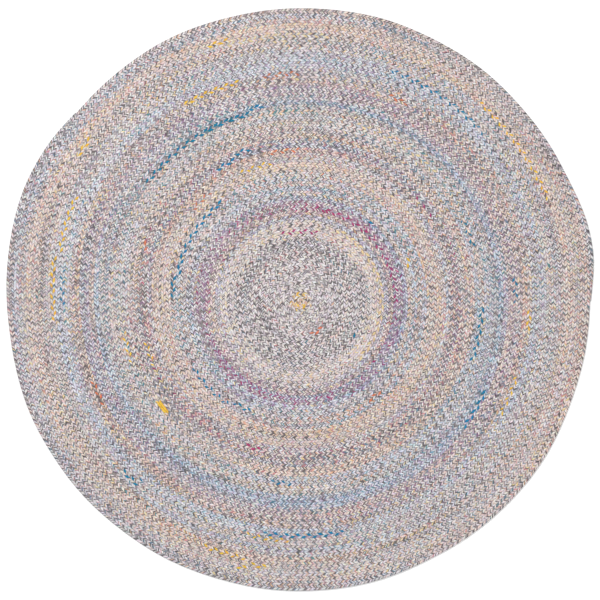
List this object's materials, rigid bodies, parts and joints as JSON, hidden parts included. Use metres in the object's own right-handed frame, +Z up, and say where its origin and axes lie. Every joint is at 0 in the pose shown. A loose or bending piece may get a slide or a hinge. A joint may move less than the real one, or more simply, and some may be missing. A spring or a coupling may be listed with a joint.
{
  "type": "round braided rug",
  "caption": "Flat round floor rug: a cloth braid wound in a coil from the middle and sewn row to row, ribbed on top, its rim stepping in where each braid ends in a taper.",
  "frame": {"origin": "on the floor, under the middle of the outline's bounding box", "axes": "+Z up out of the rug's face; +Y towards the top of the picture, +X to its right"},
  "size_m": [1.8384, 1.824, 0.01],
  "materials": {
    "braided_fabric": "matte cotton yarn, many muted colours plaited together, bands of grey, beige, pink, mauve and blue round the coil"
  },
  "bodies": {
    "root": {"braided_coil": "braided_fabric"}
  },
  "joints": []
}
